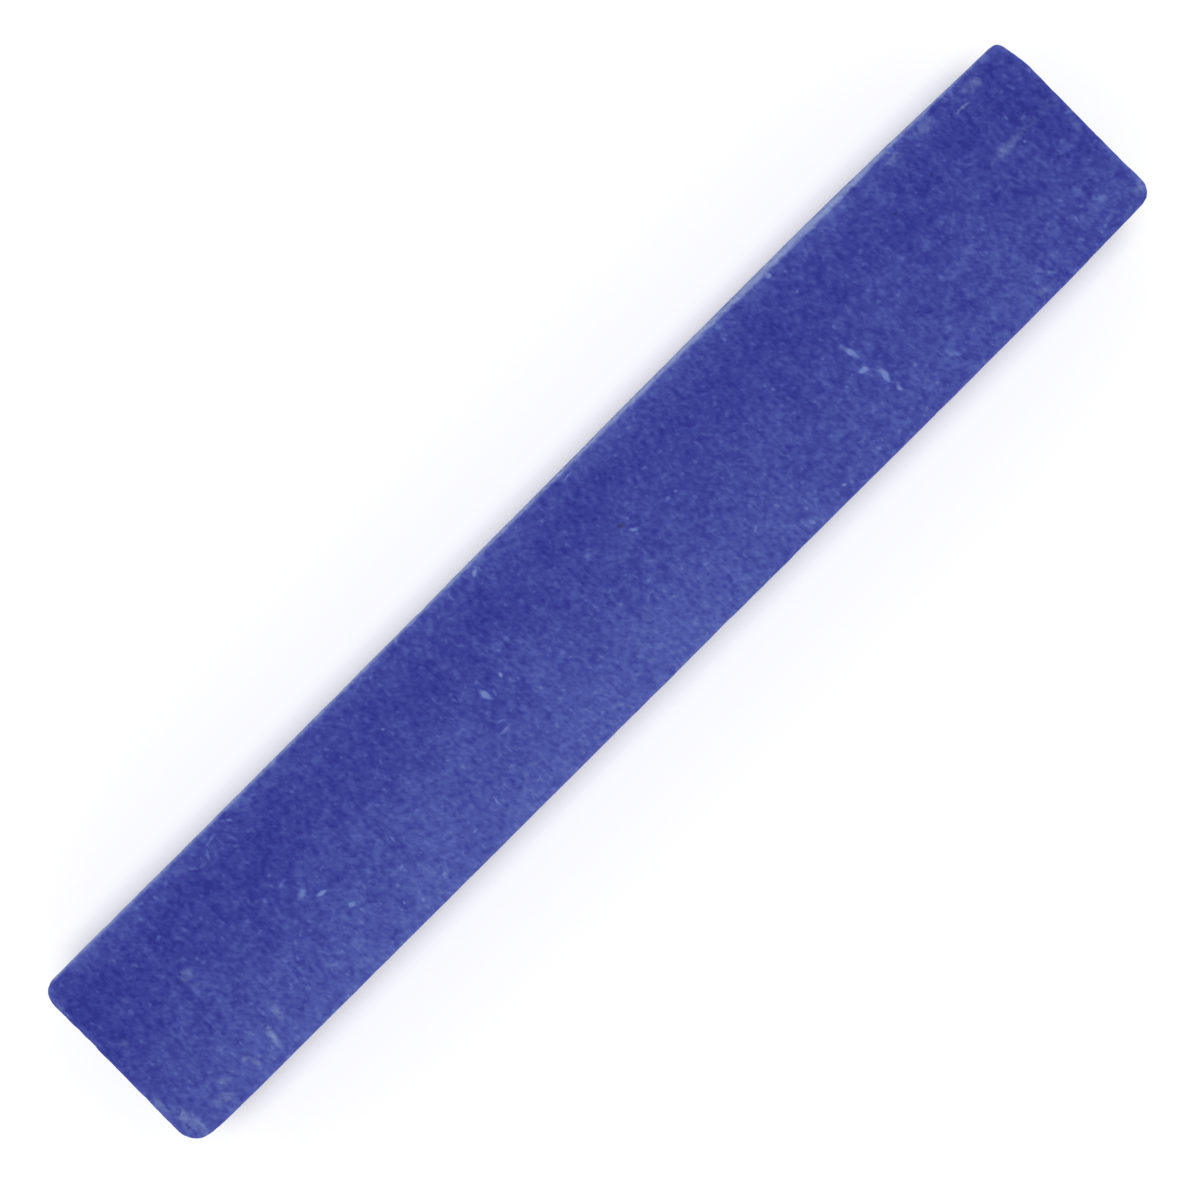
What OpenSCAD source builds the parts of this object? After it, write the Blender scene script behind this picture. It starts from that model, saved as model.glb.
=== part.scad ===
// Square soft pastel stick: one solid bar of pressed pigment and chalk, lying on its flat base.
// The far end is +X, the back side +Y and the top face +Z. The origin is under the bar's middle, on the base.

/* [Bar] */
// Length over both ends
stick_l = 65; // [40:0.5:90]
// Width from the front side to the back side, where the back side is straight
stick_w = 10.7; // [7:0.1:16]
// Height from the base to the top face
stick_h = 10.6; // [7:0.1:16]
// Rounding of the front and base edges that run along the bar
long_edge_r = 0.25; // [0.1:0.05:0.8]
// Rounding of the top and base edges across the two ends
end_edge_r = 0.3; // [0.1:0.05:0.8]

/* [Back side] */
// How far the back side bows out past its straight near stretch
bow_out = 0.2; // [0.05:0.05:0.6]
// Length of the straight near stretch, up to where the bow starts
bow_start = 11.5; // [3:0.5:20]
// Distance from the bow's crest to the far end
bow_crest = 15; // [8:0.5:20]
// Distance from the bow's end to the far end
bow_end = 2; // [1.5:0.5:5]
// How far the back side has drawn in where the bow ends
bow_fall = 0.05; // [0:0.01:0.2]
// Width of the worn slope along the top back edge, at the bow's crest
worn_w = 0.3; // [0.1:0.05:0.6]
// Height of the worn slope
worn_h = 1.0; // [0.5:0.1:2]
// Rounding where the worn slope leaves the top face
worn_top_r = 0.15; // [0.05:0.05:0.2]
// Rounding where the worn slope runs into the back side
worn_foot_r = 1.5; // [0.5:0.1:2]

/* [Near end] */
// How far the front corner of the near end stands ahead of its back corner
near_skew = 0.09; // [0:0.01:0.3]
// Rounding of the near back corner, seen from above
near_back_r = 0.8; // [0.3:0.1:2]
// Rounding of the near front corner
near_front_r = 1.2; // [0.3:0.1:2]
// How far the front side draws in at the near end
near_taper = 0.1; // [0:0.01:0.3]
// Length over which it draws in
near_taper_l = 3; // [2:0.5:8]

/* [Far end] */
// How far the far end falls away towards its back corner
far_fall = 0.09; // [0.05:0.01:0.25]
// Distance from the back side to where it starts to fall away
far_fall_l = 2.0; // [1.5:0.1:3.5]
// How far the far back corner is worn off along the back side
far_worn_w = 0.27; // [0.1:0.01:0.6]
// How far it is worn off along the far end
far_worn_l = 0.95; // [0.8:0.05:1.3]
// Rounding where the worn corner meets the far end, seen from above
far_worn_r = 2; // [0.5:0.5:4]
// Rounding where the worn corner meets the back side
far_back_r = 0.35; // [0.1:0.05:0.6]
// Rounding of the far front corner
far_front_r = 0.85; // [0.3:0.05:1.5]
// How far the front side draws in at the far end
far_taper = 0.14; // [0:0.01:0.3]
// Length over which it draws in
far_taper_l = 7; // [2:0.5:10]
// Depth of the shallow dip in the far end
far_dip = 0.07; // [0.02:0.01:0.2]
// Distance from the front side to the bottom of the dip
far_dip_from_front = 2.9; // [2:0.1:4]

/* [Hidden] */

pigment = "#434b9b";
cut_past = 1; // how far each outline runs past the bar that it cuts
corner_steps = 64;
bow_steps = 24;

near_x = -stick_l / 2;
far_x = stick_l / 2;
front_y = -(stick_w + bow_out) / 2;
back_y = front_y + stick_w;
crest_y = back_y + bow_out;
start_x = near_x + bow_start;
crest_x = far_x - bow_crest;
end_x = far_x - bow_end;
end_y = back_y - bow_fall;

// The bowed stretch of the back side: a long swell up to the crest, then a shorter fall
function bow_y(x) =
    x < crest_x
        ? back_y + bow_out * (1 - cos(180 * (x - start_x) / (crest_x - start_x))) / 2
        : end_y + (crest_y - end_y) * cos(90 * (x - crest_x) / (end_x - crest_x));
BOW = [
    for (i = [0 : bow_steps])
        let (x = end_x + (start_x - end_x) * i / bow_steps)
            [x, bow_y(x), 0]
];

// The bar from above, as [x, y, corner radius], anticlockwise from the near front corner
PLAN = [
    [near_x, front_y + near_taper, near_front_r],
    [near_x + near_taper_l, front_y, 0],
    [far_x - far_taper_l, front_y, 0],
    [far_x, front_y + far_taper, far_front_r],
    [far_x - far_dip, front_y + far_dip_from_front, 0],
    [far_x, end_y - far_fall_l, 0],
    [far_x - far_fall, end_y - far_worn_l, far_worn_r],
    [far_x - far_fall - far_worn_w, end_y, far_back_r],
    each BOW,
    [near_x + near_skew, back_y, near_back_r],
];

// The bar from its far end, as [y, z, corner radius], anticlockwise from the front base edge
SECTION = [
    [front_y, 0, long_edge_r],
    [crest_y, 0, long_edge_r],
    [crest_y, stick_h - worn_h, worn_foot_r],
    [crest_y - worn_w, stick_h, worn_top_r],
    [front_y, stick_h, long_edge_r],
];

// The bar from its front side, as [x, z, corner radius], anticlockwise from the near base edge
SIDE = [
    [near_x, 0, end_edge_r],
    [far_x, 0, end_edge_r],
    [far_x, stick_h, end_edge_r],
    [near_x, stick_h, end_edge_r],
];

function point(corner) = [corner[0], corner[1]];
function unit(v) = v / norm(v);
function arm(corners, i, step) =
    unit(point(corners[(i + step + len(corners)) % len(corners)]) - point(corners[i]));

// Half of the angle between the two sides that meet at corner i
function half_angle(corners, i) = acos(arm(corners, i, -1) * arm(corners, i, 1)) / 2;

// Where corner i's round leaves the side towards the corner before it (step -1) or after it (step 1)
function tangent_point(corners, i, step) =
    point(corners[i]) + arm(corners, i, step) * corners[i][2] / tan(half_angle(corners, i));

// Centre of corner i's round
function round_centre(corners, i) =
    point(corners[i])
    + unit(arm(corners, i, -1) + arm(corners, i, 1)) * corners[i][2] / sin(half_angle(corners, i));

// The sector that rounds corner i, between its two tangent points
module corner_round(corners, i) {
    centre = round_centre(corners, i);
    intersection() {
        translate(centre)
            circle(r = corners[i][2], $fn = corner_steps);
        polygon([
            centre,
            tangent_point(corners, i, -1),
            point(corners[i]),
            tangent_point(corners, i, 1),
        ]);
    }
}

// A polygon with each corner rounded to its own radius. A corner of radius 0 stays as it is.
module rounded_outline(corners) {
    polygon([
        for (i = [0 : len(corners) - 1])
            each corners[i][2] > 0
                ? [tangent_point(corners, i, -1), tangent_point(corners, i, 1)]
                : [point(corners[i])]
    ]);
    for (i = [0 : len(corners) - 1])
        if (corners[i][2] > 0)
            corner_round(corners, i);
}

module plan_prism() {
    translate([0, 0, -cut_past])
        linear_extrude(height = stick_h + 2 * cut_past)
            rounded_outline(PLAN);
}

module section_prism() {
    translate([near_x - cut_past, 0, 0])
        rotate([90, 0, 90])
            linear_extrude(height = stick_l + 2 * cut_past)
                rounded_outline(SECTION);
}

module side_prism() {
    translate([0, crest_y + cut_past, 0])
        rotate([90, 0, 0])
            linear_extrude(height = crest_y - front_y + 2 * cut_past)
                rounded_outline(SIDE);
}

module pastel_stick() {
    color(pigment)
        intersection() {
            plan_prism();
            section_prism();
            side_prism();
        }
}

pastel_stick();
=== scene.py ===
import math

import bmesh
import bpy
from mathutils import Matrix, Vector, kdtree, noise


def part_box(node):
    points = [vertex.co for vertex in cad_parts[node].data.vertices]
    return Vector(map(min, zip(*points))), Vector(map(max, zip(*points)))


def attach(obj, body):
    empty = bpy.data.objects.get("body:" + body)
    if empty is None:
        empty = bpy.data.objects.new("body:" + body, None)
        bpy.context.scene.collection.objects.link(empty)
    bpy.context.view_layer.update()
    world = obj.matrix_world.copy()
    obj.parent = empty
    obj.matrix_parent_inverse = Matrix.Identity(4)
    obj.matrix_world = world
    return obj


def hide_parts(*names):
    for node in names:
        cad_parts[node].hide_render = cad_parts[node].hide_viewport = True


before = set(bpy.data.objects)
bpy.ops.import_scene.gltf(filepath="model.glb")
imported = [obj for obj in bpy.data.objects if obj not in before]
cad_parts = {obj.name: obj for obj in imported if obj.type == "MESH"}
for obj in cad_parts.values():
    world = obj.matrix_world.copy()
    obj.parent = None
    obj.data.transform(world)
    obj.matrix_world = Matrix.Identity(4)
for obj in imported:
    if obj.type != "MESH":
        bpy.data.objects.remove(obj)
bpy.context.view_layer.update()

# The pastel stick: ultramarine pigment and chalk, bound with a little gum, pressed into one square bar
# and dried. The pressed faces are dull and slightly pitted. Handling has rubbed its long edges and
# corners, and has left pale dust and scuffs on the top face.
MM = 0.001
STICK = "pastel_stick"
scene = bpy.context.scene
stick_low, stick_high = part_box(STICK)
stick_top = stick_high.z / MM      # height of the top face in mm

# The bar as it leaves the press: the plain solid, cut into small even faces.
GRAIN_STEP = 0.18 * MM             # edge of one face
WELD_GAP = 0.001 * MM              # points that lie closer than this are one point
blank_mesh = bpy.data.meshes.new("stick_blank")
blank_bm = bmesh.new()
blank_bm.from_mesh(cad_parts[STICK].data)
bmesh.ops.remove_doubles(blank_bm, verts=blank_bm.verts, dist=WELD_GAP)
blank_bm.to_mesh(blank_mesh)
blank_bm.free()
blank = bpy.data.objects.new("stick_blank", blank_mesh)
scene.collection.objects.link(blank)
even_faces = blank.modifiers.new("even_faces", "REMESH")
even_faces.mode = "VOXEL"
even_faces.voxel_size = GRAIN_STEP
depsgraph = bpy.context.evaluated_depsgraph_get()
stick_mesh = bpy.data.meshes.new_from_object(blank.evaluated_get(depsgraph))
stick_mesh.name = "pressed_bar"
bpy.data.objects.remove(blank)

# Handling rubs the edges and corners smooth.
FULL_WEAR = 3.4                    # makes an edge between two square faces count as fully worn
WEAR_SPREAD = 6                    # how many faces the wear reaches out from an edge
RUBBED_EDGE = 0.3                  # wear from which an edge has been rubbed smooth
RUBS_OVER = 3                      # how many times it has been rubbed
RUB_PULL = 0.5                     # how far each rub pulls a point towards its neighbours


def edge_wear(bar):
    """How much each point of the bar is rubbed: 1 along its edges and corners, and 0 out on its faces."""
    turned_away = [1 - max(abs(part) for part in vert.normal) for vert in bar.verts]
    wear = [min(1, FULL_WEAR * share) for share in turned_away]
    neighbours = [[edge.other_vert(vert).index for edge in vert.link_edges] for vert in bar.verts]
    for _ in range(WEAR_SPREAD):
        wear = [(own + sum(wear[k] for k in near) / len(near)) / 2 for own, near in zip(wear, neighbours)]
    # Spreading about halves the wear of the edge itself.
    return [min(1, 2 * share) for share in wear]


stick_bm = bmesh.new()
stick_bm.from_mesh(stick_mesh)
stick_bm.normal_update()
wear_layer = stick_bm.verts.layers.float.new("edge_wear")
wear_of = edge_wear(stick_bm)
rubbed = [vert for vert, wear in zip(stick_bm.verts, wear_of) if wear > RUBBED_EDGE]
for _ in range(RUBS_OVER):
    bmesh.ops.smooth_vert(stick_bm, verts=rubbed, factor=RUB_PULL,
                          use_axis_x=True, use_axis_y=True, use_axis_z=True)
stick_bm.normal_update()

# The dried surface: lumps, pits and drag lines on the faces, crumbs on the two ends, and chips along
# the edges. Points, heights, depths and widths are in mm.
PIT_DEPTH = 0.035
DRAG_LENGTH = 16                   # of the lines that the press has drawn along the two sides
DRAG_WIDTH = 0.45
EDGE_LOSS = 0.004                  # what every worn edge has lost
CHIP_DEPTH = 0.05                  # of a chip in a top edge
LOWER_CHIPS = 0.06                 # how much deeper the chips are lower down
RELIEF_LOST = 0.5                  # share of the relief that a fully worn edge has lost


def ramp_up(low, high, value):
    """0 up to low, 1 from high on, and a smooth step between. Low may be the greater one."""
    t = min(1, max(0, (value - low) / (high - low)))
    return t * t * (3 - 2 * t)


def swells(point, height, width, shift=(0, 0, 0)):
    """Smooth rises and hollows of about the given height and width."""
    return height * noise.noise(point / width + Vector(shift))


def crumble(point, height, width, fade, layers):
    """Rough rises and hollows: each layer is half as wide as the last, and lower as fade says."""
    return height * noise.fractal(point / width, fade, 2, layers)


def pressed_relief(point, facing):
    """How far the dried surface stands out, at a point that faces the given way."""
    sway = swells(point, height=0.010, width=7)
    lumps = swells(point, height=0.012, width=1.3, shift=(31, 7, 3))
    grain = crumble(point, height=0.008, width=0.55, fade=0.6, layers=2)
    pits = PIT_DEPTH * ramp_up(0.36, 0.72, swells(point, height=1, width=0.8, shift=(5, 91, 40)))
    drawn_out = Vector((point.x / DRAG_LENGTH, 0, point.z / DRAG_WIDTH))
    drag_lines = swells(drawn_out, height=0.016 * abs(facing.y), width=1, shift=(0, 9, 0))
    on_ends = ramp_up(0.7, 0.95, abs(facing.x))
    crumbs = crumble(point, height=0.022 * on_ends, width=0.8, fade=0.8, layers=3)
    return sway + lumps + grain + drag_lines + crumbs - pits


def edge_crumble(point):
    """How far a worn edge has crumbled away at a point. The top edges have crumbled least."""
    nibbles = crumble(point, height=0.008, width=0.6, fade=0.8, layers=3)
    chip_depth = CHIP_DEPTH + LOWER_CHIPS * ramp_up(stick_top - 0.8, stick_top - 2, point.z)
    chips = chip_depth * ramp_up(0.38, 0.65, swells(point, height=1, width=1.7, shift=(11, 2, 77)))
    return EDGE_LOSS + nibbles + chips


# Marks on the top face, given one by one. Each has its middle, length and width in mm, its turn in degrees
# and its strength. Scuffs are paler than the face around them, or darker where the strength is below 0.
SCUFFS = (
    (16.70, -0.50, 1.00, 0.27, -78, 0.70),
    (16.55, -1.50, 0.52, 0.27, -25, 0.75),
    (17.10, -2.45, 0.80, 0.32, 80, 0.80),
    (17.15, -3.30, 0.42, 0.25, -80, 0.65),
    (15.40, -1.50, 0.20, 0.20, 0, 0.45),
    (-7.25, 0.25, 0.80, 0.34, -75, 0.90),
    (-6.85, 0.05, 0.42, 0.16, 70, 0.50),
    (-6.05, 0.40, 0.28, 0.20, 80, 0.80),
    (-5.85, -0.15, 0.38, 0.15, -70, 0.30),
    (-8.50, 1.45, 0.38, 0.15, -10, 0.25),
    (-8.50, 1.10, 0.38, 0.13, -80, 0.40),
    (-3.50, 4.75, 0.42, 0.22, 30, 0.60),
    (-10.45, -3.70, 0.48, 0.17, 88, 0.55),
    (-12.20, -4.00, 0.30, 0.20, 0, 0.35),
    (-7.65, -1.15, 0.42, 0.14, -20, 0.38),
    (-10.45, -1.45, 0.32, 0.16, 80, 0.25),
    (-7.85, -1.60, 0.72, 0.22, 0, 0.40),
    (-5.25, 1.45, 0.65, 0.60, 0, 0.16),
    (-4.65, 1.45, 0.32, 0.32, 0, 0.35),
    (-11.90, 2.55, 0.20, 0.15, -50, 0.55),
    (-2.65, -2.65, 0.32, 0.22, 0, 0.18),
    (2.90, 4.90, 0.58, 0.17, 0, 0.50),
    (3.35, 0.85, 0.52, 0.20, -40, 0.48),
    (1.00, 1.40, 0.62, 0.42, 0, 0.30),
    (1.70, 0.60, 0.28, 0.32, 0, 0.20),
    (5.55, 0.75, 0.38, 0.15, 0, 0.55),
    (6.05, 0.75, 0.22, 0.15, 0, 0.55),
    (5.25, 2.45, 0.28, 0.20, 90, 0.15),
    (9.65, -4.90, 0.50, 0.22, -60, 0.48),
    (7.65, 0.15, 0.34, 0.16, -30, 0.12),
    (9.40, 1.25, 0.42, 0.16, 0, 0.12),
    (-20.25, -0.30, 0.50, 0.42, 0, 0.48),
    (-19.50, -0.95, 0.55, 0.22, -18, 0.80),
    (-18.85, -2.35, 0.38, 0.32, 0, 0.50),
    (-15.30, -1.50, 0.38, 0.17, 90, 0.50),
    (-15.90, -2.75, 0.24, 0.18, 20, 0.35),
    (-17.05, -4.05, 0.16, 0.16, 0, 0.45),
    (-14.70, -4.50, 0.52, 0.26, 60, 0.25),
    (-17.50, -4.80, 0.32, 0.30, 0, 0.12),
    (-21.50, -3.80, 0.34, 0.20, -50, 0.25),
    (-20.20, 4.65, 0.34, 0.16, -70, 0.60),
    (-17.70, 4.65, 0.62, 0.50, 0, 0.16),
    (-20.85, 3.60, 0.38, 0.16, -30, 0.25),
    (-18.60, 2.55, 0.32, 0.20, 80, 0.28),
    (-23.00, 4.15, 0.55, 0.16, -50, 0.38),
    (-22.60, 4.00, 0.55, 0.16, -8, 0.25),
    (-22.10, 4.15, 0.60, 0.20, 60, 0.46),
    (-21.55, 4.60, 0.80, 0.15, 10, 0.35),
    (-26.60, 3.05, 0.42, 0.22, 0, 0.28),
    (30.05, -4.65, 0.72, 0.32, 15, 0.32),
    (30.45, -3.75, 0.50, 0.50, 0, 0.25),
    (29.85, -2.65, 0.62, 0.42, 90, 0.23),
    (25.80, -4.05, 0.45, 0.20, -45, 0.30),
    (26.25, -4.55, 0.50, 0.22, -30, 0.30),
    (29.90, 2.25, 0.22, 0.15, -60, 0.38),
    (29.75, 0.80, 0.22, 0.16, 90, 0.55),
    (26.45, 1.50, 0.22, 0.20, 0, 0.20),
    (12.85, 4.25, 0.28, 0.16, 90, 0.38),
    (12.85, 0.90, 0.30, 0.20, 80, 0.48),
    (18.55, 4.47, 0.62, 0.18, 70, 0.20),
    (16.50, 4.90, 0.38, 0.30, 0, 0.65),
    (16.95, 3.40, 0.17, 0.16, 0, 0.42),
    (20.10, -3.92, 0.90, 0.25, -52, 0.28),
    (12.00, -4.75, 0.18, 0.16, 0, 0.60),
    (14.40, -4.65, 0.32, 0.20, -30, 0.30),
    (11.85, 4.55, 0.28, 0.22, 0, 0.18),
    (30.55, -1.05, 0.85, 0.42, 0, -0.22),
    (12.70, -0.90, 0.22, 0.22, 0, -0.30),
    (-8.40, 1.15, 0.32, 0.16, 80, -0.40),
    (4.40, -3.15, 0.20, 0.18, 0, -0.30),
    # The long dark hairline stands for a fine scratch. Its darkness is painted shade in the scratch, whose
    # cut dent is too shallow to shade itself.
    (-18.80, -3.40, 6.80, 0.12, 0, -0.06),
)
SCUFF_DEPTH = 0.045                # how far in mm a scuff of strength 1 is cut into the face
SCUFF_FLOOR = 0.1                  # how far its floor reaches out from its middle, as a share of its size
SCUFF_REACH = 0.75                 # how far its slopes reach out, likewise
NARROWEST_CUT = 0.30               # width in mm of the narrowest scuff that the mesh can show


def cut_scuffs(bar, moves):
    """Adds each scuff's shallow dent to the moves of the bar's points."""
    points = kdtree.KDTree(len(bar.verts))
    for vert in bar.verts:
        points.insert(vert.co, vert.index)
    points.balance()
    for x, y, length, width, turn, strength in SCUFFS:
        middle = Vector((x * MM, y * MM, stick_high.z))
        turn_back = Matrix.Rotation(-math.radians(turn), 2)
        cut_length = max(length, NARROWEST_CUT)
        cut_width = max(width, NARROWEST_CUT)
        reach = SCUFF_REACH * max(cut_length, cut_width)
        for spot, index, _ in points.find_range(middle, reach * MM):
            aside = turn_back @ ((spot - middle).xy / MM)
            share = Vector((aside.x / cut_length, aside.y / cut_width)).length
            moves[index].z -= SCUFF_DEPTH * abs(strength) * ramp_up(SCUFF_REACH, SCUFF_FLOOR, share) * MM


moves = []
for vert, wear in zip(stick_bm.verts, wear_of):
    spot = vert.co / MM
    vert[wear_layer] = wear
    relief_mm = pressed_relief(spot, vert.normal) * (1 - RELIEF_LOST * wear) - edge_crumble(spot) * wear
    moves.append(vert.normal * relief_mm * MM)
cut_scuffs(stick_bm, moves)
for vert, move in zip(stick_bm.verts, moves):
    vert.co += move
    vert.co.z = max(vert.co.z, stick_low.z)
for face in stick_bm.faces:
    face.smooth = True
stick_bm.to_mesh(stick_mesh)
stick_bm.free()
stick = bpy.data.objects.new("pressed_bar", stick_mesh)
scene.collection.objects.link(stick)

# The pigment: a dull blue that turns paler with the dust that lies on it.
pigment = bpy.data.materials.new("pressed_ultramarine")
pigment.use_nodes = True
tree = pigment.node_tree
shader = tree.nodes["Principled BSDF"]


def linear(*shade):
    """A shade of three values up to 255, as the linear colour that a shader takes."""
    parts = [value / 255 for value in shade]
    return (*(part / 12.92 if part < 0.04045 else ((part + 0.055) / 1.055) ** 2.4 for part in parts), 1)


def add(kind, inputs, **options):
    """A node of the pigment with its options set, and each input given a value or linked to a socket."""
    made = tree.nodes.new("ShaderNode" + kind)
    for name, value in options.items():
        setattr(made, name, value)
    for name, value in inputs.items():
        if isinstance(value, bpy.types.NodeSocket):
            tree.links.new(value, made.inputs[name])
        else:
            made.inputs[name].default_value = value
    return made


def math_of(operation, *values):
    """The result of one operation on values and sockets."""
    return add("Math", dict(enumerate(values)), operation=operation).outputs[0]


def total(*parts):
    """All parts added up."""
    result = parts[0]
    for part in parts[1:]:
        result = math_of("ADD", result, part)
    return result


def product(*parts):
    """All parts multiplied."""
    result = parts[0]
    for part in parts[1:]:
        result = math_of("MULTIPLY", result, part)
    return result


def rise(value, low, high, to=1.0):
    """As ramp_up, for a socket: 0 up to low, and the value of to from high on."""
    made = add("MapRange", {"Value": value, "From Min": low, "From Max": high, "To Min": 0.0, "To Max": to},
               interpolation_type="SMOOTHSTEP", clamp=False)
    return made.outputs["Result"]


# Places on the stick, in mm along it, across it and up from its base
place = add("TexCoord", {}).outputs["Object"]
in_mm = add("VectorMath", {0: place, "Scale": 1 / MM}, operation="SCALE").outputs[0]
axes = add("SeparateXYZ", {"Vector": in_mm}).outputs
along, across, height = axes["X"], axes["Y"], axes["Z"]


def mottle(cell, detail=1, roughness=0.5, turn=0, shift=(0, 0, 0)):
    """Cloudy noise with cells of the given size in mm, from about -0.5 to 0.5."""
    turned = add("Mapping", {"Vector": in_mm, "Location": shift, "Rotation": (0, 0, math.radians(turn)),
                             "Scale": cell}, vector_type="TEXTURE")
    cloud = add("TexNoise", {"Vector": turned.outputs[0], "Scale": 1.0, "Detail": detail,
                             "Roughness": roughness})
    return math_of("SUBTRACT", cloud.outputs["Fac"], 0.5)


# The top face is paler towards its front side, most of all along the middle, and a little paler along its
# back edge.
# The paleness thins out down the sides, and is weaker on the two ends of the top face.
front_reach = total(0.36, rise(along, -8, -36, -0.12), rise(along, -1, 16, -0.16))
front_paling = product(rise(across, 4.0, -6.7), front_reach)
back_paling = rise(across, 3.1, 5.1, 0.135)
paling_reach = total(rise(height, stick_top - 0.6, stick_top - 0.15, 0.55),
                    rise(height, stick_top - 5, stick_top - 0.5, 0.45))
bare_strip = product(rise(across, -0.6, 1.4), rise(across, 4.4, 3.2))
bare_near = product(bare_strip, rise(along, -13, -24, -0.065))
bare_corner = product(rise(across, 3.2, 4.2), rise(along, 27, 30, -0.06))
bare_far = total(rise(along, 24, 30, -0.055), bare_corner)
top_paling = product(paling_reach, total(front_paling, back_paling, bare_near, bare_far))

# The pressed grain: soft clouds, clumps, and fine grains that the press has drawn out across the stick.
clouds = product(mottle((3.0, 3.0, 3.0), shift=(9, 3, 1)), 0.26)
clump_gain = total(0.34, rise(math_of("ABSOLUTE", along), 6, 24, 0.16))
clumps = product(mottle((0.80, 0.95, 0.80), shift=(1, 8, 5)), clump_gain)
grains_across = product(mottle((0.25, 0.38, 0.26), roughness=0.6), 0.58)
grains_slant = product(mottle((0.21, 0.38, 0.24), roughness=0.6, turn=40, shift=(3, 5, 2)), 0.53)
hairlines = product(mottle((0.14, 5.0, 0.30), detail=0, shift=(2, 2, 2)), 0.12)
below_top = rise(height, stick_top - 0.3, stick_top - 1.2)
drag_lines = product(mottle((15, 0.5, 0.4), shift=(3, 1, 9)), product(below_top, 0.36))
flecks = rise(mottle((0.26, 0.36, 0.26), detail=0, turn=20, shift=(6, 1, 7)), 0.17, 0.34, 0.24)
grain = total(clouds, clumps, grains_across, grains_slant, hairlines, drag_lines, flecks)

# Edges and corners are rubbed paler in patches. The front edge of the top face has stayed crisp.
worn = add("Attribute", {}, attribute_name="edge_wear").outputs["Fac"]
crisp = product(rise(across, -4.7, -5.2), rise(height, stick_top - 0.5, stick_top - 0.15))
rub_patches = rise(mottle((1.8, 1.8, 1.8), detail=2, roughness=0.6, shift=(7, 7, 0)), -0.15, 0.15, 0.26)
edge_rub = product(worn, rub_patches, math_of("SUBTRACT", 1.0, crisp))

# Soft rubs on the top face, given as the scuffs are. They are greyer, and the grain breaks them up.
RUBS = (
    (-31.70, -4.20, 1.75, 0.80, 97, 0.32),
    (-31.50, -4.95, 0.50, 0.30, 60, 0.20),
    (-32.15, -2.60, 1.20, 0.28, 90, 0.32),
    (-32.30, 4.00, 1.30, 0.34, 90, 0.16),
    (-29.75, -4.60, 1.10, 0.48, -22, 0.38),
    (-29.15, -4.05, 0.70, 0.34, -40, 0.30),
    (-27.65, -3.95, 0.58, 0.40, 0, 0.34),
    (-27.45, -4.45, 0.65, 0.40, -60, 0.24),
    (-26.00, -4.10, 1.45, 0.42, 80, 0.38),
    (-25.00, -3.45, 0.90, 0.44, 80, 0.34),
    (-26.95, 0.85, 0.80, 0.62, 0, 0.30),
    (-26.90, 0.15, 0.52, 0.32, 0, 0.10),
    (-31.30, 0.60, 0.62, 0.50, 0, 0.12),
    (-28.90, 4.95, 0.85, 0.35, 0, 0.08),
    (-26.40, 4.95, 0.40, 0.30, 0, 0.10),
    (28.95, 1.20, 1.90, 0.55, 0, 0.21),
    (31.00, 1.25, 2.40, 0.40, 0, 0.10),
    (28.75, 4.05, 0.80, 0.16, -5, 0.60),
    (29.90, 4.50, 1.25, 0.60, -10, 0.21),
    (26.85, 4.65, 1.00, 0.52, 0, 0.24),
    (24.70, 4.65, 1.00, 0.45, 0, 0.25),
    (32.05, -0.35, 0.90, 0.34, 90, 0.14),
    (32.10, -4.60, 0.85, 0.66, 20, 0.32),
    (25.25, -4.90, 0.55, 0.42, 0, 0.30),
)
# Specks are grains of dark dirt, given in the same way.
SPECKS = (
    (3.05, 1.42, 0.50, 0.27, -40, 0.62),
    (22.90, 2.75, 0.22, 0.20, 0, 0.55),
    (25.45, 2.85, 0.20, 0.17, 0, 0.55),
)
MARK_DEPTH = 0.6                   # how far in mm a mark reaches below the top face
MARK_REACH = 0.68                  # how far it reaches out from its middle, as a share of its size
MARK_CORE = 0.26                   # share of that reach within which it has its full strength
RAG_WIDTH = 0.3                    # of the ragged bits along a mark's rim, in mm
RAG_REACH = 0.17                   # how far in mm they move the rim
BROKEN_UP = 4.0                    # how strongly the grain breaks up a soft rub
PLAIN_DUST = 0.18                  # the dust on the plain pressed faces
warp = add("TexNoise", {"Vector": in_mm, "Scale": 1 / RAG_WIDTH, "Detail": 1.0})
jitter = add("VectorMath", {0: warp.outputs["Color"], 1: (0.5, 0.5, 0.5)}, operation="SUBTRACT")
ragged = add("VectorMath", {0: jitter.outputs[0], 1: (RAG_REACH, RAG_REACH, 0.0), 2: in_mm},
             operation="MULTIPLY_ADD").outputs[0]


def mark(x, y, length, width, turn, strength):
    """The strength of one ragged mark: full in its middle, and fading out just past its rim."""
    reach = (length * MARK_REACH, width * MARK_REACH, MARK_DEPTH)
    local = add("Mapping", {"Vector": ragged, "Location": (x, y, stick_top),
                            "Rotation": (0, 0, math.radians(turn)), "Scale": reach}, vector_type="TEXTURE")
    glow = add("TexGradient", {"Vector": local.outputs[0]}, gradient_type="SPHERICAL")
    return rise(glow.outputs["Fac"], 0, 1 - MARK_CORE, strength)


def all_marks(rows):
    """The strength of a list of marks together."""
    strength = 0.0
    for row in rows:
        strength = total(strength, mark(*row))
    return strength


scuffs = all_marks(SCUFFS)
rubs = product(all_marks(RUBS), total(1.0, product(grain, BROKEN_UP)))
specks = all_marks(SPECKS)
dust = total(top_paling, grain, edge_rub, scuffs, PLAIN_DUST)

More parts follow.
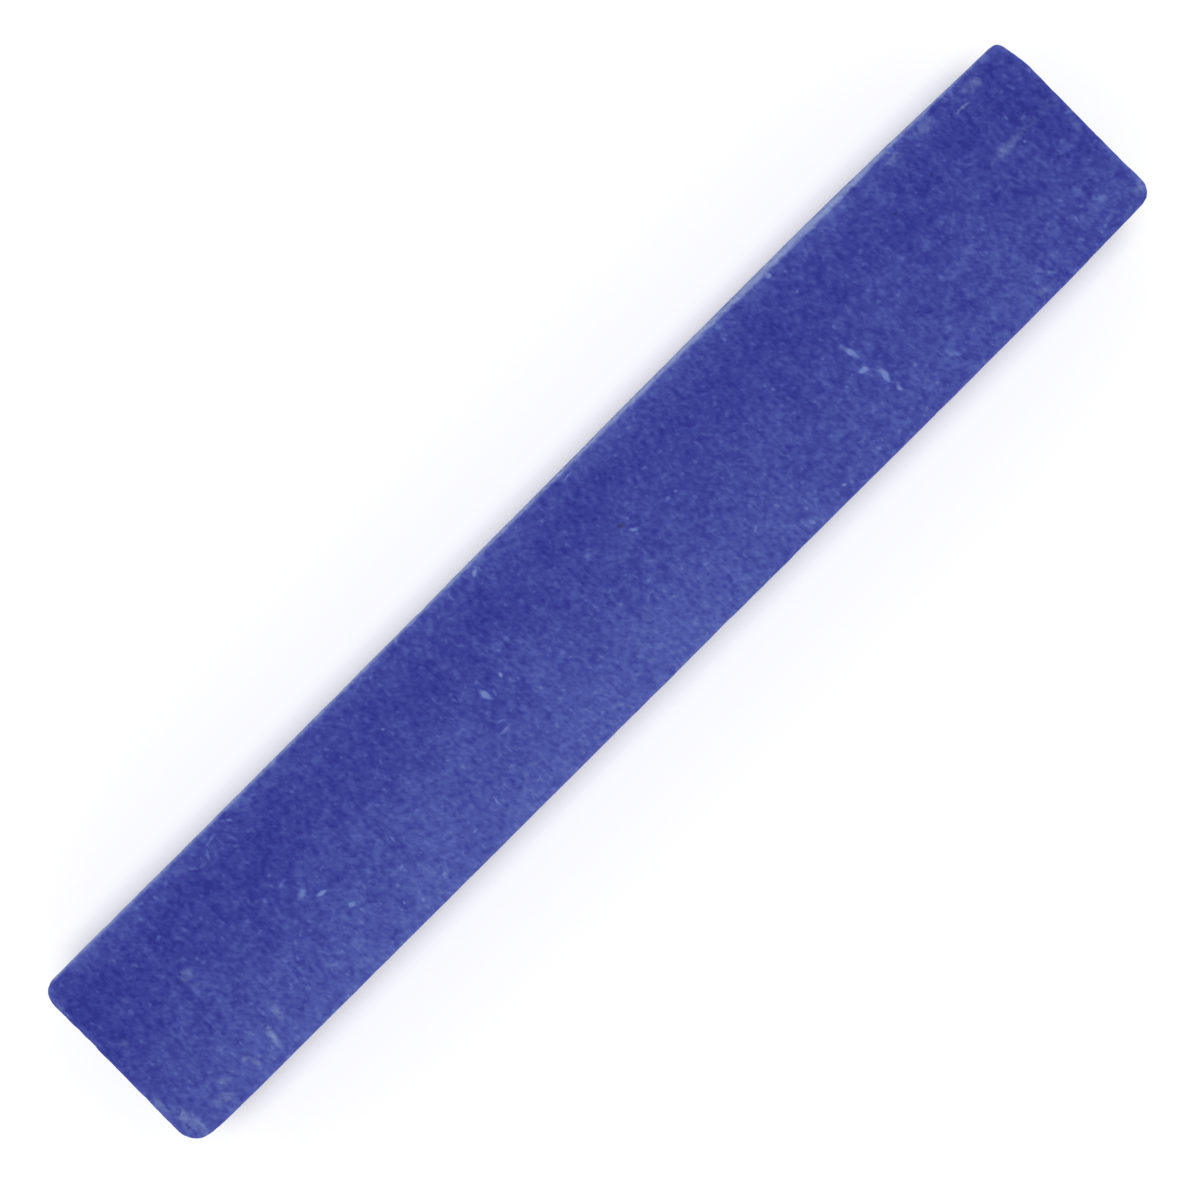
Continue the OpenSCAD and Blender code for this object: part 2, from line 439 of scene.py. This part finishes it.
# The pigment's shades, from where it is clean to where the dust is thickest
CLEAN_SHADE = (45, 50, 138)
DUSTY_SHADES = ((0.26, (61, 69, 152)), (0.52, (78, 90, 166)), (0.81, (98, 112, 178)))
THICK_DUST_SHADE = (113, 129, 188)
RUBBED_SHADE = (123, 139, 185)
# The slope's pale shade is partly chalk dust and partly a painted highlight.
SLOPE_DUST_AND_HIGHLIGHT_SHADE = (130, 145, 190)
SPECK_SHADE = (40, 38, 92)
shades = add("ValToRGB", {"Fac": dust})
stops = shades.color_ramp.elements
stops[0].color = linear(*CLEAN_SHADE)
stops[1].color = linear(*THICK_DUST_SHADE)
for at, shade in DUSTY_SHADES:
    stops.new(at).color = linear(*shade)

# The rubbed slope along the top back edge is paler and greyer than the faces, partly as chalk dust and
# partly as a painted highlight where the slope catches the light. It fades out below its foot.
rim_sway = total(rise(along, -16, -6, -0.05), rise(along, 11, 17, 0.12), rise(along, 21, 26, -0.09))
slope_rim = total(across, product(clumps, 0.25), rim_sway)
slope_foot = total(height, product(clouds, 3.0), product(grain, 1.2))
slope_spread = product(rise(slope_rim, 5.02, 5.25), rise(slope_foot, stick_top - 1.8, stick_top - 0.5))
slope_dust_and_highlight = total(0.75, product(grain, 1.2), rise(along, 27, 31, -0.25))


def shade_over(under, cover, shade):
    """A shade laid over another one, as strongly as cover says."""
    mixed = add("Mix", {"Factor": cover, "A": under, "B": linear(*shade)}, data_type="RGBA")
    return mixed.outputs["Result"]


rubbed_shade = shade_over(shades.outputs["Color"], rubs, RUBBED_SHADE)
# Lays the slope's chalk dust and painted highlight over the pigment.
with_slope_dust_and_highlight = shade_over(rubbed_shade, product(slope_spread, slope_dust_and_highlight), SLOPE_DUST_AND_HIGHLIGHT_SHADE)
pigment_shade = shade_over(with_slope_dust_and_highlight, specks, SPECK_SHADE)

# The surface is dull all over, most of all where dust lies, and its finest grain is only a faint roughness.
FINE_GRAIN_HEIGHT = 0.02 * MM
relief = mottle((0.18, 0.22, 0.18), detail=2, roughness=0.65, shift=(4, 4, 4))
bump = add("Bump", {"Height": relief, "Strength": 0.30, "Distance": FINE_GRAIN_HEIGHT})
dullness = add("MapRange", {"Value": dust, "From Min": 0.0, "From Max": 0.7, "To Min": 0.80, "To Max": 0.97})
tree.links.new(pigment_shade, shader.inputs["Base Color"])
tree.links.new(dullness.outputs["Result"], shader.inputs["Roughness"])
tree.links.new(bump.outputs["Normal"], shader.inputs["Normal"])
shader.inputs["Specular IOR Level"].default_value = 0.08
shader.inputs["Diffuse Roughness"].default_value = 0.6
shader.inputs["Sheen Weight"].default_value = 0.06
shader.inputs["Sheen Roughness"].default_value = 0.6
shader.inputs["Sheen Tint"].default_value = (0.70, 0.76, 1.0, 1)
stick_mesh.materials.append(pigment)

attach(stick, "root")
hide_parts(STICK)

# The table: a plain white board, far wider than the picture, that the stick lies on.
# It is only a place to stand, and no part of the stick.
TABLE_SIZE = 8.0
table_bm = bmesh.new()
bmesh.ops.create_grid(table_bm, x_segments=1, y_segments=1, size=TABLE_SIZE / 2)
table_mesh = bpy.data.meshes.new("table")
table_bm.to_mesh(table_mesh)
table_bm.free()
table = bpy.data.objects.new("table", table_mesh)
scene.collection.objects.link(table)
table_white = bpy.data.materials.new("table_white")
table_white.use_nodes = True
table_shader = table_white.node_tree.nodes["Principled BSDF"]
table_shader.inputs["Base Color"].default_value = (0.92, 0.92, 0.92, 1)
table_shader.inputs["Roughness"].default_value = 0.9
table_shader.inputs["Specular IOR Level"].default_value = 0.1
table_mesh.materials.append(table_white)

# The light: a white room, with one soft lamp high above the stick. The lamp is so far away and so wide
# that it lights the whole table evenly.
room = bpy.data.worlds.new("white_room")
room.use_nodes = True
room_light = room.node_tree.nodes["Background"]
room_light.inputs["Color"].default_value = (1, 1, 1, 1)
room_light.inputs["Strength"].default_value = 0.36
scene.world = room
lamp = bpy.data.lights.new("lamp_above", "SUN")
lamp.angle = math.radians(18)
lamp.energy = 2.5
scene.collection.objects.link(bpy.data.objects.new("lamp_above", lamp))

# The camera: straight above, with a long lens, turned so that the stick runs from the lower left
# to the upper right.
CAMERA_TURN = math.radians(-44.88)
FRAME_WIDTH = 57.45 * MM           # what the picture spans at the height of the top face
FRAME_CENTRE = (-0.17 * MM, -0.40 * MM)
camera_data = bpy.data.cameras.new("camera")
camera_data.sensor_width = 36
camera_data.lens = 120
camera_gap = FRAME_WIDTH * camera_data.lens / camera_data.sensor_width
camera_data.clip_start = camera_gap / 100
camera = bpy.data.objects.new("camera", camera_data)
camera.location = (*FRAME_CENTRE, stick_high.z + camera_gap)
camera.rotation_euler = (0, 0, CAMERA_TURN)
scene.collection.objects.link(camera)
scene.camera = camera
scene.view_settings.view_transform = "Standard"
